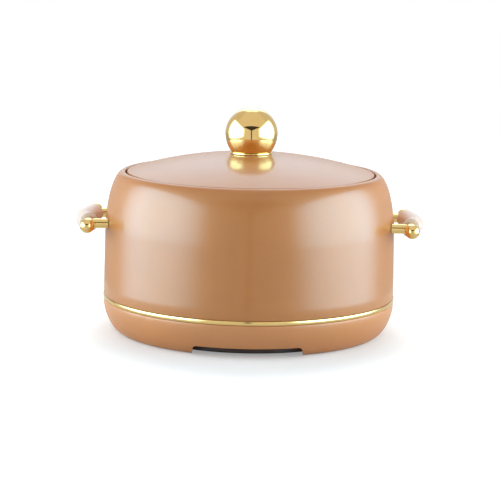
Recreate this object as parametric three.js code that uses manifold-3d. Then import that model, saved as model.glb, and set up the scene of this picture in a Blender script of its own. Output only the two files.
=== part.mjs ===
// Insulated casserole: a round lacquered pot with a steel bowl, foam insulation,
// two bowed side handles and a lift-off lid with a ball knob.
// Millimetres, +Z up, the origin on the table under the middle of the pot.
import * as THREE from 'three';
import { mergeVertices } from 'three/addons/utils/BufferGeometryUtils.js';
import Module from 'manifold-3d';

const wasm = await Module();
wasm.setup();

// Driving dimensions
const wallRadius = 130;
const wallDraft = 1.1;
const shoulderWidth = 18.6;
const shoulderHeight = 49.5;
const rimLevel = 142.5;
const shellWall = 2.5;
const handleDrop = 44;
const lidClearance = 1.4;
const lidSink = 0.15;
const lidRise = 17;
const lidWall = 2.2;
const seatDepth = 8;
const bowlInset = 14.4;
const potWall = 0.8;
const fitGap = 0.3;
const cutOverrun = 5;
const ringSteps = 36;

// Foot, base plate and skirt
const footHeight = 2.4;
const footInset = 10.2;
const footWidth = 9;
const basePlateThickness = 3;
const skirtLift = 0.6;
const skirtRoundWidth = 14.5;
const skirtRoundHeight = 27;
const skirtStraightHeight = 2;
const skirtLowPullShare = 0.48;
const skirtHighPullShare = 0.38;
const skirtLipWidth = 2.5;
const skirtWall = 2.5;
const skirtFloorThickness = 5;
const skirtRoundSteps = 5;
const notchHeight = 8.4;
const notchHalfWidth = 46;
const notchSlant = 2.2;
const notchCorner = 1.6;
const baseScrewHeadRadius = 3;
const baseScrewHeadHeight = 1.5;
const baseScrewRadius = 1.6;
const baseScrewBite = 3;

// Trim band and shell
const bandHeight = 3.5;
const bandProud = 0.35;
const bandEdge = 0.3;
const spigotWall = 2.2;
const spigotRise = 2;
const shoulderLowPullShare = 0.4;
const shoulderHighPullShare = 0.6;
const lipRound = 1.5;
const flangeWall = 2.2;
const flangeDepth = 15.5;
const shoulderSteps = 5;

// Collar, bowl and insulation
const collarThickness = 2.5;
const collarFootWidth = 5;
const potFlangeWidth = 6.3;
const potRimRound = 1.5;
const potCornerRadius = 20;
const potCornerSteps = 3;
const floorFoamThickness = 6.4;

// Handles
const postSpread = 31.5;
const postRadius = 4.25;
const gripStandoff = 12.7;
const gripEndRadius = 8.5;
const gripMiddleRadius = 7.7;
const gripBow = 5.8;
const gripEdge = 1;
const ferruleRadius = 5.6;
const ferruleLength = 14.75;
const ferruleEdge = 0.8;
const tieRodRadius = 2;
const ballRadius = 6.4;
const ballSeatDepth = 1.7;
const ballThreadDepth = 6.5;
const handleScrewRadius = 2;
const handleScrewHeadRadius = 4;
const handleScrewHeadHeight = 2.4;
const handleScrewEndWall = 1.2;
const backingThickness = 1.5;
const backingHalfHeight = 8;
const backingEndMargin = 12;
const backingBossMargin = 1.5;
const backingBossRise = 0.5;
const gripStations = 10;
const gripSides = 14;
const rodSides = 8;

// Lid, knob and their fixings
const gasketHeight = 2.1;
const gasketLip = 0.6;
const lidEdgeRound = 0.8;
const lidSteps = 4;
const linerWall = 0.8;
const linerDepth = 8.2;
const linerClearance = 0.8;
const linerCorner = 3;
const linerCornerSteps = 2;
const knobRadius = 23.1;
const knobFootShare = 0.78;
const knobStretchShare = 1.085;
const knobRingHeight = 1.35;
const knobRingProud = 0.5;
const knobRingEdge = 0.4;
const knobSteps = 6;
const knobSides = 24;
const ballSides = 14;
const ballSteps = 4;
const studRadius = 3;
const studReach = 20;
const studEndMargin = 2.8;
const washerRadius = 8;
const washerThickness = 1.6;
const nutRadius = 5.8;
const nutHeight = 5;
const lidPocketMargin = 2;
const fastenerSides = 10;

// Radii that the sizes give, from the outside in
const skirtLipRadius = wallRadius - skirtRoundWidth;
const skirtLipInnerRadius = skirtLipRadius - skirtLipWidth;
const basePlateRadius = skirtLipInnerRadius - fitGap;
const footRadius = basePlateRadius - footInset;
const baseScrewCircle = (footRadius + basePlateRadius) / 2;
const spigotRadius = wallRadius - skirtWall - fitGap;
const mouthRadius = wallRadius - shoulderWidth;
const collarRadius = mouthRadius - fitGap;
const potRadius = mouthRadius - bowlInset;
const potOuterRadius = potRadius + potWall;
const potFlangeRadius = potOuterRadius + potFlangeWidth;
const lidRadius = mouthRadius - lidClearance;

// Levels that the sizes give, from the table up
const basePlateLevel = footHeight + fitGap;
const skirtFloorLevel = basePlateLevel + basePlateThickness + fitGap;
const skirtInnerLevel = skirtFloorLevel + skirtFloorThickness;
const potFloorLevel = skirtInnerLevel + floorFoamThickness + 2 * fitGap;
const skirtRoundLevel = skirtLift + skirtRoundHeight;
const skirtTopLevel = skirtRoundLevel + skirtStraightHeight;
const spigotLevel = skirtRoundLevel + fitGap;
const bandLevel = skirtTopLevel + fitGap;
const shellLevel = bandLevel + bandHeight + fitGap;
const shoulderLevel = rimLevel - shoulderHeight;
const handleLevel = rimLevel - handleDrop;
const flangeLevel = rimLevel - flangeDepth;
const collarFootLevel = flangeLevel - fitGap - collarThickness;
const seatLevel = rimLevel - seatDepth;
const gasketLevel = seatLevel + fitGap;
const lidRimLevel = gasketLevel + gasketHeight + fitGap;
const lidApexLevel = rimLevel - lidSink + lidRise;
const domeRadius = (lidRadius ** 2 + lidRise ** 2) / (2 * lidRise);

// Finishes
const lacquer = { color: 0xcf9f78, metalness: 0.55, roughness: 0.32 };
const gold = { color: 0xe2b65a, metalness: 1, roughness: 0.12 };
const steel = { color: 0xc9cacc, metalness: 1, roughness: 0.3 };
const darkPlastic = { color: 0x3a2a24, metalness: 0, roughness: 0.6 };
const rubber = { color: 0x2b2422, metalness: 0, roughness: 0.85 };
const silicone = { color: 0xe9e4dc, metalness: 0, roughness: 0.6 };
const foam = { color: 0xe8d9a8, metalness: 0, roughness: 0.95 };
const palePlastic = { color: 0xd8c4ae, metalness: 0, roughness: 0.45 };

const casserole = new THREE.Group();
const pot = new THREE.Group();
const lid = new THREE.Group();
casserole.add(pot, lid);

const point = (r, z) => new THREE.Vector2(r, z);

function addPiece(group, name, geometry, finish) {
  const mesh = new THREE.Mesh(geometry, new THREE.MeshStandardMaterial(finish));
  mesh.name = name;
  group.add(mesh);
}

// A ring or disc turned about +Z from an outline of (radius, height) points.
function turned(outline, steps = ringSteps) {
  const points = THREE.ShapeUtils.area(outline) < 0 ? [...outline].reverse() : [...outline];
  const onAxis = points.findIndex((p, i) => p.x === 0 && points.at(i - 1).x === 0);
  if (onAxis < 0) points.push(points[0].clone());
  else points.push(...points.splice(0, onAxis));
  return new THREE.LatheGeometry(points, steps).rotateX(Math.PI / 2);
}

// A round bar along +X, +Y or +Z between two places on that axis.
function bar(axis, radius, from, to, steps = fastenerSides) {
  const geometry = new THREE.CylinderGeometry(radius, radius, to - from, steps);
  geometry.translate(0, (from + to) / 2, 0);
  if (axis === 'x') geometry.rotateZ(-Math.PI / 2);
  if (axis === 'z') geometry.rotateX(Math.PI / 2);
  return geometry;
}

function toSolid(geometry) {
  const bare = geometry.clone();
  bare.deleteAttribute('normal');
  bare.deleteAttribute('uv');
  const merged = mergeVertices(bare);
  const corners = merged.index.array;
  const triVerts = [];
  for (let i = 0; i < corners.length; i += 3) {
    const [a, b, c] = corners.slice(i, i + 3);
    if (a !== b && b !== c && c !== a) triVerts.push(a, b, c);
  }
  const vertProperties = new Float32Array(merged.attributes.position.array);
  return new wasm.Manifold(
    new wasm.Mesh({ numProp: 3, vertProperties, triVerts: new Uint32Array(triVerts) }));
}

function toGeometry(solid) {
  const mesh = solid.getMesh();
  const geometry = new THREE.BufferGeometry();
  geometry.setAttribute('position', new THREE.BufferAttribute(mesh.vertProperties, 3));
  geometry.setIndex(new THREE.BufferAttribute(mesh.triVerts, 1));
  return geometry;
}

function shaped(base, { joined = [], removed = [] }) {
  let solid = toSolid(base);
  for (const geometry of joined) solid = solid.add(toSolid(geometry));
  for (const geometry of removed) solid = solid.subtract(toSolid(geometry));
  return toGeometry(solid);
}

// Points on a quarter of an ellipse about a centre, between two angles in quarter turns.
function arc(centre, radiusR, radiusZ, fromQuarter, toQuarter, steps) {
  return Array.from({ length: steps + 1 }, (_, i) => {
    const angle = THREE.MathUtils.lerp(fromQuarter, toQuarter, i / steps) * Math.PI / 2;
    return point(centre.x + radiusR * Math.cos(angle), centre.y + radiusZ * Math.sin(angle));
  });
}

// Base skirt: a moulded dish with a rounded foot, notched front and back. Its side swings up from a low
// level to the straight top, moved towards the middle by an inset.
function skirtRound(inset, lowLevel) {
  const width = skirtRoundWidth - inset;
  const height = skirtRoundLevel - lowLevel;
  const side = new THREE.CubicBezierCurve(
    point(skirtLipRadius, lowLevel),
    point(skirtLipRadius + width * skirtLowPullShare, lowLevel),
    point(skirtLipRadius + width, skirtRoundLevel - height * skirtHighPullShare),
    point(skirtLipRadius + width, skirtRoundLevel));
  return side.getPoints(skirtRoundSteps);
}

// What the notches take away: a straight slot from front to back that spares what lies inside the lip.
function notchCutter() {
  const top = skirtLift + notchHeight;
  const outline = new THREE.Shape();
  outline.moveTo(-notchHalfWidth - notchSlant, -cutOverrun);
  outline.lineTo(notchHalfWidth + notchSlant, -cutOverrun);
  outline.lineTo(notchHalfWidth + notchSlant, skirtLift);
  outline.quadraticCurveTo(notchHalfWidth + notchSlant / 2, top, notchHalfWidth - notchCorner, top);
  outline.lineTo(notchCorner - notchHalfWidth, top);
  outline.quadraticCurveTo(-notchHalfWidth - notchSlant / 2, top, -notchHalfWidth - notchSlant, skirtLift);
  const reach = 2 * (wallRadius + cutOverrun);
  const cutter = new THREE.ExtrudeGeometry(outline, { depth: reach, bevelEnabled: false, curveSegments: 4 });
  const spared = bar('z', basePlateRadius, -2 * cutOverrun, top + cutOverrun, ringSteps);
  return shaped(cutter.translate(0, 0, -reach / 2).rotateX(Math.PI / 2), { removed: [spared] });
}

function baseScrewPlaces() {
  return [0, 1, 2, 3].map((quarter) => {
    const angle = (quarter + 1 / 2) * Math.PI / 2;
    return point(baseScrewCircle * Math.cos(angle), baseScrewCircle * Math.sin(angle));
  });
}

function baseSkirt() {
  const dish = turned([
    point(0, skirtFloorLevel),
    point(skirtLipInnerRadius, skirtFloorLevel),
    point(skirtLipInnerRadius, skirtLift),
    ...skirtRound(0, skirtLift),
    point(wallRadius, skirtTopLevel),
    point(wallRadius - skirtWall, skirtTopLevel),
    ...skirtRound(skirtWall, skirtInnerLevel).reverse(),
    point(0, skirtInnerLevel),
  ]);
  const holeTop = skirtFloorLevel + baseScrewBite + fitGap;
  const screwHoles = baseScrewPlaces().map((place) =>
    bar('z', baseScrewRadius + fitGap, skirtFloorLevel - cutOverrun, holeTop).translate(place.x, place.y, 0));
  return shaped(dish, { removed: [notchCutter(), ...screwHoles] });
}

function basePlate() {
  const top = basePlateLevel + basePlateThickness;
  const disc = turned([
    point(0, basePlateLevel), point(basePlateRadius, basePlateLevel),
    point(basePlateRadius, top), point(0, top)]);
  const holes = baseScrewPlaces().map((place) =>
    bar('z', baseScrewRadius + fitGap, basePlateLevel - cutOverrun, top + cutOverrun)
      .translate(place.x, place.y, 0));
  return shaped(disc, { removed: holes });
}

function footRing() {
  return turned([
    point(footRadius - footWidth, 0), point(footRadius, 0),
    point(footRadius, footHeight), point(footRadius - footWidth, footHeight)]);
}

function baseScrew(place) {
  const headTop = basePlateLevel - fitGap;
  const shankTop = skirtFloorLevel + baseScrewBite;
  const screw = turned([
    point(0, headTop - baseScrewHeadHeight),
    point(baseScrewHeadRadius, headTop - baseScrewHeadHeight),
    point(baseScrewHeadRadius, headTop),
    point(baseScrewRadius, headTop),
    point(baseScrewRadius, shankTop),
    point(0, shankTop),
  ], fastenerSides);
  return screw.translate(place.x, place.y, 0);
}

addPiece(pot, 'base_skirt', baseSkirt(), lacquer);
addPiece(pot, 'base_plate', basePlate(), darkPlastic);
addPiece(pot, 'foot_ring', footRing(), rubber);
baseScrewPlaces().forEach((place, i) => addPiece(pot, `base_screw_${i + 1}`, baseScrew(place), steel));

// Trim band: a bright metal strip round the joint between skirt and shell.
function trimBand() {
  const inner = spigotRadius + fitGap;
  const outer = wallRadius + bandProud;
  const top = bandLevel + bandHeight;
  return turned([
    point(inner, bandLevel), point(outer - bandEdge, bandLevel), point(outer, bandLevel + bandEdge),
    point(outer, top - bandEdge), point(outer - bandEdge, top), point(inner, top)]);
}

addPiece(pot, 'trim_band', trimBand(), gold);

// Outer shell: a straight wall with a slight draft, a soft shoulder and a turned-down lip.
const lipCrestRadius = mouthRadius + lipRound;
const flangeRadius = mouthRadius + flangeWall;
const shoulderRadius = wallRadius - wallDraft;
const shoulder = new THREE.CubicBezierCurve(
  point(shoulderRadius, shoulderLevel),
  point(shoulderRadius, shoulderLevel + shoulderHeight * shoulderLowPullShare),
  point(lipCrestRadius + (shoulderRadius - lipCrestRadius) * shoulderHighPullShare, rimLevel),
  point(lipCrestRadius, rimLevel));

// Points along the shoulder, moved towards the pot's inside by an inset.
function shoulderPoints(inset, lastStep) {
  return Array.from({ length: lastStep + 1 }, (_, i) => {
    const place = shoulder.getPoint(i / shoulderSteps);
    const along = shoulder.getTangent(i / shoulderSteps);
    return point(place.x - along.y * inset, place.y + along.x * inset);
  });
}

// The outer face's radius at a level: the drafted wall below, the shoulder's own flats above.
function shellRadiusAt(level) {
  if (level <= shoulderLevel) {
    return wallRadius - wallDraft * (level - shellLevel) / (shoulderLevel - shellLevel);
  }
  const points = shoulderPoints(0, shoulderSteps);
  const above = points.findIndex((p) => p.y >= level);
  const [low, high] = [points[above - 1], points[above]];
  return THREE.MathUtils.mapLinear(level, low.y, high.y, low.x, high.x);
}

const handleWallRadius = shellRadiusAt(handleLevel - postRadius);
const gripLine = handleWallRadius + gripStandoff;
const handleEnds = [-1, 1].flatMap((side) => [-1, 1].map((end) => ({ side, end })));

function shellScrewHoles() {
  return handleEnds.map(({ side, end }) =>
    bar('x', handleScrewRadius + fitGap, wallRadius / 2, wallRadius + cutOverrun)
      .rotateZ(side < 0 ? Math.PI : 0)
      .translate(0, end * postSpread, handleLevel));
}

function outerShell() {
  const spigotTop = shellLevel + spigotRise;
  const wall = turned([
    point(wallRadius, shellLevel),
    ...shoulderPoints(0, shoulderSteps),
    ...arc(point(lipCrestRadius, rimLevel - lipRound), lipRound, lipRound, 1, 2, 2).slice(1),
    point(mouthRadius, flangeLevel),
    point(flangeRadius, flangeLevel),
    point(flangeRadius, rimLevel - shellWall),
    ...shoulderPoints(shellWall, shoulderSteps - 1).reverse(),
    point(shellRadiusAt(spigotTop + shellWall) - shellWall, spigotTop + shellWall),
    point(spigotRadius - spigotWall, spigotTop),
    point(spigotRadius - spigotWall, spigotLevel),
    point(spigotRadius, spigotLevel),
    point(spigotRadius, shellLevel),
  ]);
  return shaped(wall, { removed: shellScrewHoles() });
}

addPiece(pot, 'outer_shell', outerShell(), lacquer);

// Rim collar: a moulded ring that hooks under the shell's lip and carries the bowl and the lid.
function rimCollar() {
  const shelfTop = seatLevel - potWall - fitGap;
  const shelfBottom = shelfTop - collarThickness;
  const footTop = flangeLevel - fitGap;
  const shelfOuter = potFlangeRadius + fitGap;
  const riserInner = collarRadius - collarThickness;
  return turned([
    point(potOuterRadius + fitGap, shelfBottom),
    point(potOuterRadius + fitGap, shelfTop),
    point(shelfOuter, shelfTop),
    point(shelfOuter, seatLevel),
    point(collarRadius, seatLevel),
    point(collarRadius, footTop),
    point(collarRadius + collarFootWidth, footTop),
    point(collarRadius + collarFootWidth, collarFootLevel),
    point(riserInner, collarFootLevel),
    point(riserInner, shelfBottom),
  ]);
}

addPiece(pot, 'rim_collar', rimCollar(), palePlastic);

// Inner bowl: one steel pressing with a rounded floor corner and a flat rim.
function bowlWall(inset) {
  const radius = potOuterRadius - inset;
  const floor = potFloorLevel + inset;
  const corner = potCornerRadius - inset;
  const centre = point(radius - corner, floor + corner);
  return [point(0, floor), ...arc(centre, corner, corner, -1, 0, potCornerSteps)];
}

function innerPot() {
  const flangeUnderside = seatLevel - potWall;
  return turned([
    ...bowlWall(0),
    point(potOuterRadius, flangeUnderside),
    point(potFlangeRadius, flangeUnderside),
    point(potFlangeRadius, seatLevel),
    point(potRadius + potRimRound, seatLevel),
    point(potRadius, seatLevel - potRimRound),
    ...bowlWall(potWall).reverse(),
  ]);
}

addPiece(pot, 'inner_pot', innerPot(), steel);

// Backing strips: curved steel strips inside the shell that spread the load of the handle screws.
const backingLow = handleLevel - backingHalfHeight;
const backingHigh = handleLevel + backingHalfHeight;
const backingHalfWidth = postSpread + backingEndMargin;
const bossRadius = handleScrewHeadRadius + backingBossMargin;
const backingRadiusAt = (level, depth) => shellRadiusAt(level) - shellWall - fitGap - depth;
const bossInnerRadius = backingRadiusAt(handleLevel + bossRadius, backingThickness);
const bossFace = Math.sqrt(bossInnerRadius ** 2 - (postSpread + bossRadius) ** 2) - backingBossRise;

function backingSide(depth) {
  return [backingLow, handleLevel, backingHigh].map((level) => point(backingRadiusAt(level, depth), level));
}

function backingStrip(side) {
  const ends = [-1, 1];
  const alongX = (radius, from, end) => toSolid(bar('x', radius, from, wallRadius)
    .rotateZ(side < 0 ? Math.PI : 0).translate(0, end * postSpread, handleLevel));
  const ring = turned([...backingSide(0), ...backingSide(backingThickness).reverse()]);
  const core = turned([
    point(0, backingLow), ...backingSide(backingThickness / 2), point(0, backingHigh)]);
  const windowHeight = 2 * (backingHalfHeight + cutOverrun);
  const sideWindow = new THREE.BoxGeometry(wallRadius, 2 * backingHalfWidth, windowHeight)
    .translate(side * wallRadius, 0, handleLevel);
  const holeRadius = handleScrewRadius + fitGap;
  let strip = toSolid(ring).intersect(toSolid(sideWindow));
  for (const end of ends) strip = strip.add(alongX(bossRadius, bossFace, end).intersect(toSolid(core)));
  for (const end of ends) strip = strip.subtract(alongX(holeRadius, bossFace - cutOverrun, end));
  return toGeometry(strip);
}

// Body insulation: moulded foam that fills the space between bowl, shell and skirt.
function insulationOutline() {
  const foamShoulder = shoulderPoints(shellWall + fitGap, shoulderSteps - 1);
  const foamTop = collarFootLevel - fitGap;
  const below = foamShoulder.filter((p) => p.y < foamTop);
  const above = foamShoulder[below.length];
  const last = below.at(-1);
  const topRadius = THREE.MathUtils.mapLinear(foamTop, last.y, above.y, last.x, above.x);
  const coreRadius = spigotRadius - spigotWall - fitGap;
  const skirtSide = skirtRound(skirtWall + fitGap, skirtInnerLevel + fitGap).filter((p) => p.x < coreRadius);
  const spigotTop = shellLevel + spigotRise + fitGap;
  return [
    point(0, skirtInnerLevel + fitGap),
    ...skirtSide,
    point(coreRadius, spigotLevel),
    point(coreRadius, spigotTop),
    point(shellRadiusAt(spigotTop + shellWall) - shellWall - fitGap, spigotTop + shellWall),
    ...below,
    point(topRadius, foamTop),
    point(potOuterRadius + fitGap, foamTop),
    ...bowlWall(-fitGap).reverse(),
  ];
}

function bodyInsulation() {
  const head = bossFace - fitGap - handleScrewHeadHeight;
  const pockets = [-1, 1].map((side) => new THREE.BoxGeometry(
    wallRadius, 2 * (backingHalfWidth + fitGap), 2 * (backingHalfHeight + fitGap))
    .translate(side * (head - fitGap + wallRadius / 2), 0, handleLevel));
  return shaped(turned(insulationOutline()), { removed: pockets });
}

addPiece(pot, 'body_insulation', bodyInsulation(), foam);
addPiece(pot, 'left_backing_strip', backingStrip(-1), steel);
addPiece(pot, 'right_backing_strip', backingStrip(1), steel);

// A bar along +Y whose radius and sideways offset vary with the place along it.
function bowedBar(halfLength, stations, sides, radiusAt, offsetAt) {
  const positions = [offsetAt(-1), -halfLength, 0, offsetAt(1), halfLength, 0];
  const indices = [];
  for (let i = 0; i <= stations; i++) {
    const place = Math.cos(Math.PI * (1 - i / stations));
    const radius = radiusAt(place);
    for (let k = 0; k < sides; k++) {
      const angle = 2 * Math.PI * k / sides;
      positions.push(
        offsetAt(place) + radius * Math.cos(angle), place * halfLength, radius * Math.sin(angle));
    }
  }
  const corner = (i, k) => 2 + i * sides + (k % sides);
  for (let k = 0; k < sides; k++) {
    indices.push(0, corner(0, k), corner(0, k + 1));
    indices.push(1, corner(stations, k + 1), corner(stations, k));
    for (let i = 0; i < stations; i++) {
      indices.push(corner(i, k), corner(i + 1, k), corner(i + 1, k + 1));
      indices.push(corner(i, k), corner(i + 1, k + 1), corner(i, k + 1));
    }
  }
  const geometry = new THREE.BufferGeometry();
  geometry.setAttribute('position', new THREE.Float32BufferAttribute(positions, 3));
  geometry.setIndex(indices);
  return geometry;
}

// Tie rod: a steel rod bent to the grip's bow, straight where it leaves the grip.
const ferruleStart = postSpread - postRadius;
const gripHalfLength = ferruleStart - fitGap;
const ferruleEnd = ferruleStart + ferruleLength;
const ballSeat = ferruleEnd + fitGap;
const ballCentre = ballSeat + ballRadius - ballSeatDepth;
const rodEnd = ballSeat + ballThreadDepth;

function tieRod(radius, halfLength) {
  const bowAt = (place) => {
    const along = Math.min(Math.abs(place) * halfLength / gripHalfLength, 1);
    return gripBow * (1 + Math.cos(Math.PI * along)) / 2;
  };
  return bowedBar(halfLength, gripStations, rodSides, () => radius, bowAt);
}

// Grip: a lacquered bar, bowed away from the pot, a little thicker at its ends.
function grip() {
  const body = bowedBar(gripHalfLength, gripStations, gripSides,
    (place) => {
      const edge = Math.max(0, Math.abs(place) * gripHalfLength - gripHalfLength + gripEdge);
      return THREE.MathUtils.lerp(gripMiddleRadius, gripEndRadius, place ** 2) - edge;
    },
    (place) => gripBow * (1 - place ** 2));
  return shaped(body, { removed: [tieRod(tieRodRadius + fitGap, rodEnd)] });
}

// Bracket: a plated tee, its post screwed from inside the pot and its ferrule round the tie rod.
const screwTip = gripLine - tieRodRadius - 2 * fitGap - handleScrewEndWall;

function bracket(end) {
  const ferrule = turned([
    point(0, ferruleStart), point(ferruleRadius - ferruleEdge, ferruleStart),
    point(ferruleRadius, ferruleStart + ferruleEdge), point(ferruleRadius, ferruleEnd - ferruleEdge),
    point(ferruleRadius - ferruleEdge, ferruleEnd), point(0, ferruleEnd),
  ], gripSides).rotateX(-Math.PI / 2);
  const post = bar('x', postRadius, -gripStandoff - cutOverrun, 0, gripSides).translate(0, postSpread, 0);
  const rodHole = bar('y', tieRodRadius + fitGap, ferruleStart - cutOverrun, ferruleEnd + cutOverrun);
  const screwHole = bar('x', handleScrewRadius + fitGap, -gripStandoff - 2 * cutOverrun,
    screwTip + fitGap - gripLine).translate(0, postSpread, 0);
  const wall = bar('z', handleWallRadius + fitGap, -postSpread, postSpread, 4 * ringSteps)
    .translate(-gripLine, 0, 0);
  const tee = shaped(ferrule, { joined: [post], removed: [rodHole, screwHole, wall] });
  return end > 0 ? tee : tee.rotateX(Math.PI);
}

function ballEnd(end) {
  const centre = point(0, ballCentre);
  const seatQuarter = Math.asin((ballSeat - ballCentre) / ballRadius) / (Math.PI / 2);
  const threadTop = rodEnd + fitGap;
  const ball = turned([
    point(0, threadTop), point(tieRodRadius + fitGap, threadTop),
    point(tieRodRadius + fitGap, ballSeat),
    ...arc(centre, ballRadius, ballRadius, seatQuarter, 1, ballSteps).slice(0, -1),
    point(0, ballCentre + ballRadius),
  ], ballSides).rotateX(-Math.PI / 2);
  return end > 0 ? ball : ball.rotateX(Math.PI);
}

function handleScrew() {
  const head = bar('x', handleScrewHeadRadius, bossFace - fitGap - handleScrewHeadHeight, bossFace - fitGap);
  const shank = bar('x', handleScrewRadius, bossFace - fitGap - handleScrewHeadHeight / 2, screwTip);
  return shaped(head, { joined: [shank] });
}

function placedOnSide(geometry, side, along = gripLine) {
  return geometry.translate(along, 0, 0).rotateZ(side < 0 ? Math.PI : 0).translate(0, 0, handleLevel);
}

for (const side of [-1, 1]) {
  const sideName = side < 0 ? 'left' : 'right';
  addPiece(pot, `${sideName}_grip`, placedOnSide(grip(), side), lacquer);
  addPiece(pot, `${sideName}_tie_rod`, placedOnSide(tieRod(tieRodRadius, rodEnd), side), steel);
  for (const end of [-1, 1]) {
    const endName = end * side < 0 ? 'front' : 'rear';
    addPiece(pot, `${sideName}_${endName}_bracket`, placedOnSide(bracket(end), side), gold);
    addPiece(pot, `${sideName}_${endName}_ball`, placedOnSide(ballEnd(end), side), gold);
    const screw = handleScrew().translate(0, end * postSpread, 0);
    addPiece(pot, `${sideName}_${endName}_handle_screw`, placedOnSide(screw, side, 0), steel);
  }
}

// Lid cover: a shallow dome with a short turned-down rim, bored for the knob's stud.
const studHoleRadius = studRadius + fitGap;
const lidPocketRadius = washerRadius + lidPocketMargin;

function domeLevelAt(radius, inset = 0) {
  return lidApexLevel - domeRadius + Math.sqrt((domeRadius - inset) ** 2 - radius ** 2);
}

function domePoints(fromRadius, toRadius, inset) {
  return Array.from({ length: lidSteps + 1 }, (_, i) => {
    const radius = THREE.MathUtils.lerp(fromRadius, toRadius, i / lidSteps);
    return point(radius, domeLevelAt(radius, inset));
  });
}

function lidCover() {
  const rimInner = lidRadius - lidWall;
  return turned([
    ...domePoints(studHoleRadius, lidRadius - lidEdgeRound, 0),
    point(lidRadius, domeLevelAt(lidRadius) - lidEdgeRound),
    point(lidRadius, lidRimLevel),
    point(rimInner, lidRimLevel),
    ...domePoints(rimInner, studHoleRadius, lidWall),
  ]);
}

// Lid liner: a steel pan pressed into the cover's rim; its plug drops into the bowl.
const linerRadius = potRadius - linerClearance;
const linerFlangeRadius = lidRadius - lidWall - fitGap;

function linerWallPoints(inset) {
  const radius = linerRadius - inset;
  const floor = lidRimLevel - linerDepth + inset;
  const corner = linerCorner - inset;
  const centre = point(radius - corner, floor + corner);
  return [point(0, floor), ...arc(centre, corner, corner, -1, 0, linerCornerSteps)];
}

function lidLiner() {
  return turned([
    ...linerWallPoints(0),
    point(linerRadius, lidRimLevel),
    point(linerFlangeRadius, lidRimLevel),
    point(linerFlangeRadius, lidRimLevel + linerWall),
    point(linerRadius - linerWall, lidRimLevel + linerWall),
    ...linerWallPoints(linerWall).reverse(),
  ]);
}

function lidInsulation() {
  const inset = linerWall + fitGap;
  const [, ...side] = linerWallPoints(inset);
  return turned([
    point(lidPocketRadius, lidRimLevel - linerDepth + inset),
    ...side,
    point(linerRadius - inset, lidRimLevel + inset),
    point(linerFlangeRadius, lidRimLevel + inset),
    ...domePoints(linerFlangeRadius, lidPocketRadius, lidWall + fitGap),
  ]);
}

function lidGasket() {
  const inner = linerRadius + fitGap;
  const outer = lidRadius - fitGap;
  const top = gasketLevel + gasketHeight;
  return turned([
    point(inner, gasketLevel + gasketLip), point(inner + gasketLip, gasketLevel),
    point(outer, gasketLevel), point(outer, top), point(inner, top)]);
}

addPiece(lid, 'lid_cover', lidCover(), lacquer);
addPiece(lid, 'lid_liner', lidLiner(), steel);
addPiece(lid, 'lid_insulation', lidInsulation(), foam);
addPiece(lid, 'lid_gasket', lidGasket(), silicone);

// Knob: a plated ball on a thin ring, drawn down onto the lid by a stud, washer and nut.
const knobRingLevel = lidApexLevel + knobRingHeight;
const knobLevel = knobRingLevel + fitGap;
const knobFootRadius = knobRadius * knobFootShare;
const knobRingRadius = knobFootRadius + knobRingProud;
const knobLowerRadius = knobRadius * knobStretchShare;
const knobCentreLevel = knobLevel + knobLowerRadius * Math.sqrt(1 - knobFootShare ** 2);
const studTop = knobLevel + studReach;

function knobRing() {
  return turned([
    point(studHoleRadius, domeLevelAt(studHoleRadius) + fitGap),
    point(knobRingRadius, domeLevelAt(knobRingRadius) + fitGap),
    point(knobRingRadius, knobRingLevel - knobRingEdge),
    point(knobRingRadius - knobRingEdge, knobRingLevel),
    point(studHoleRadius, knobRingLevel),
  ], knobSides);
}

function knobBall() {
  const centre = point(0, knobCentreLevel);
  const footQuarter = -Math.acos(knobFootShare) / (Math.PI / 2);
  return turned([
    point(0, studTop + fitGap), point(studHoleRadius, studTop + fitGap),
    point(studHoleRadius, knobLevel),
    ...arc(centre, knobRadius, knobLowerRadius, footQuarter, 0, knobSteps - 2),
    ...arc(centre, knobRadius, knobRadius, 0, 1, knobSteps).slice(1, -1),
    point(0, knobCentreLevel + knobRadius),
  ], knobSides);
}

const washerTop = domeLevelAt(washerRadius, lidWall) - fitGap;
const nutTop = washerTop - washerThickness - fitGap;
const studBottom = nutTop - nutHeight - studEndMargin;

addPiece(lid, 'knob_ring', knobRing(), gold);
addPiece(lid, 'knob_ball', knobBall(), gold);
addPiece(lid, 'knob_stud', bar('z', studRadius, studBottom, studTop), steel);
addPiece(lid, 'knob_washer', turned([
  point(studHoleRadius, washerTop - washerThickness), point(washerRadius, washerTop - washerThickness),
  point(washerRadius, washerTop), point(studHoleRadius, washerTop)], fastenerSides), steel);
addPiece(lid, 'knob_nut', shaped(bar('z', nutRadius, nutTop - nutHeight, nutTop, 6), {
  removed: [bar('z', studHoleRadius, nutTop - nutHeight - cutOverrun, nutTop + cutOverrun)] }), steel);

export default casserole;
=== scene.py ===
import math

import bmesh
import bpy
from mathutils import Matrix, Vector


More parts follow.
